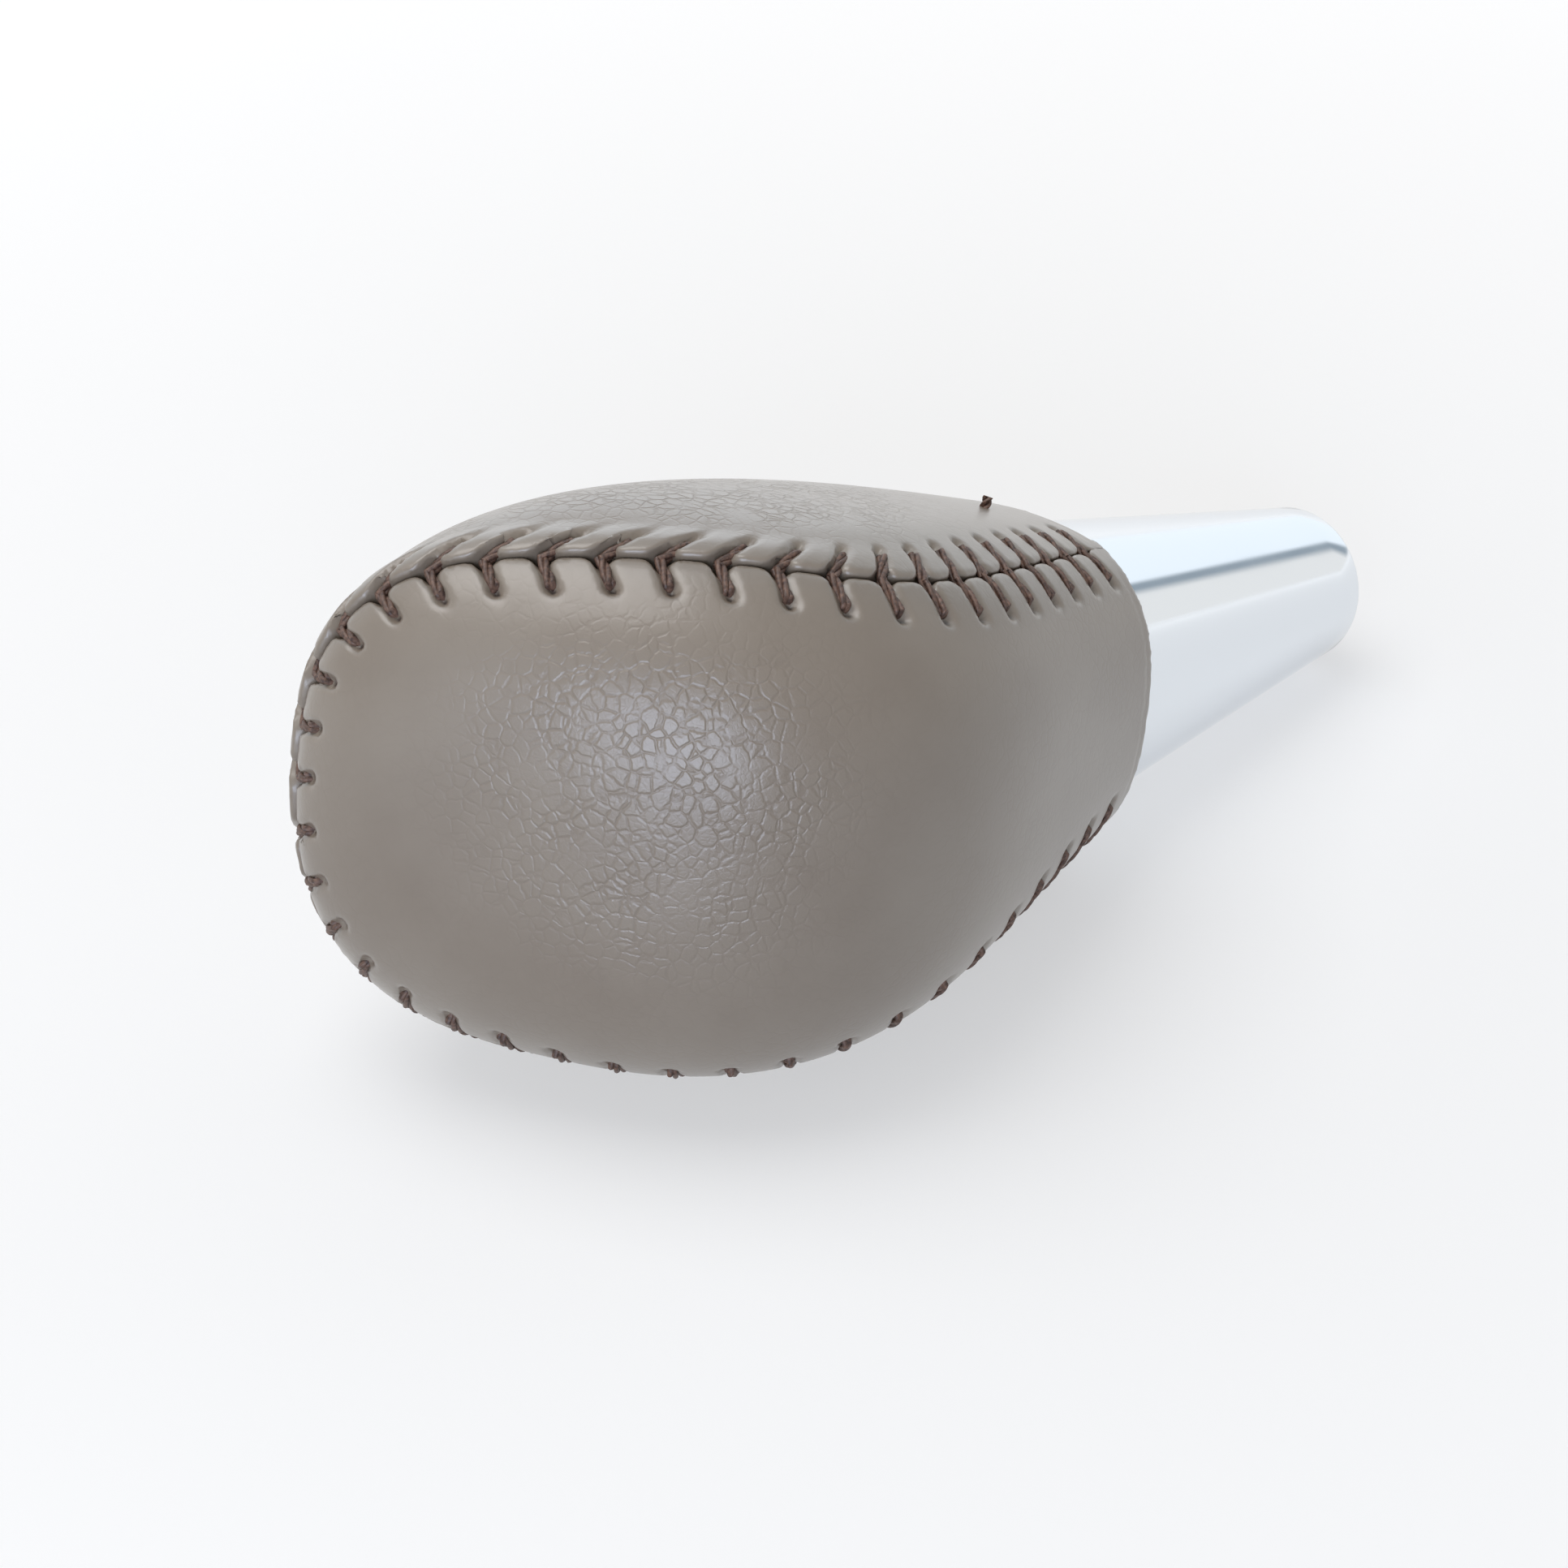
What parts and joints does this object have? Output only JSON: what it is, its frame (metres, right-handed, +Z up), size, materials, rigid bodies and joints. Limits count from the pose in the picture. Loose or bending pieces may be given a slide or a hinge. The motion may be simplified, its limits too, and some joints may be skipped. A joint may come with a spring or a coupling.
{
  "type": "gear shift knob",
  "caption": "Leather-wrapped gear shift knob, a pear-shaped grip with a hand-stitched seam round its front panel on a tapered plated neck, which screws on a gear lever.",
  "frame": {"origin": "middle of the underside of the knob's box as it lies on its side", "axes": "+X towards the neck's mouth, -Y towards the front panel, +Z up as it lies; the knob's own axis dips 10.7 degrees below +X towards the mouth"},
  "size_m": [0.1184, 0.0464, 0.0492],
  "materials": {
    "leather": "taupe, pebbled grain, low sheen",
    "thread": "waxed brown twisted thread",
    "core": "moulded, satin",
    "plating": "bright plated",
    "insert": "turned"
  },
  "bodies": {
    "root": {"front_leather": "leather", "rear_leather": "leather", "seam_stitching": "thread", "grip_core": "core", "neck_sleeve": "plating", "lever_insert": "insert"}
  },
  "joints": []
}
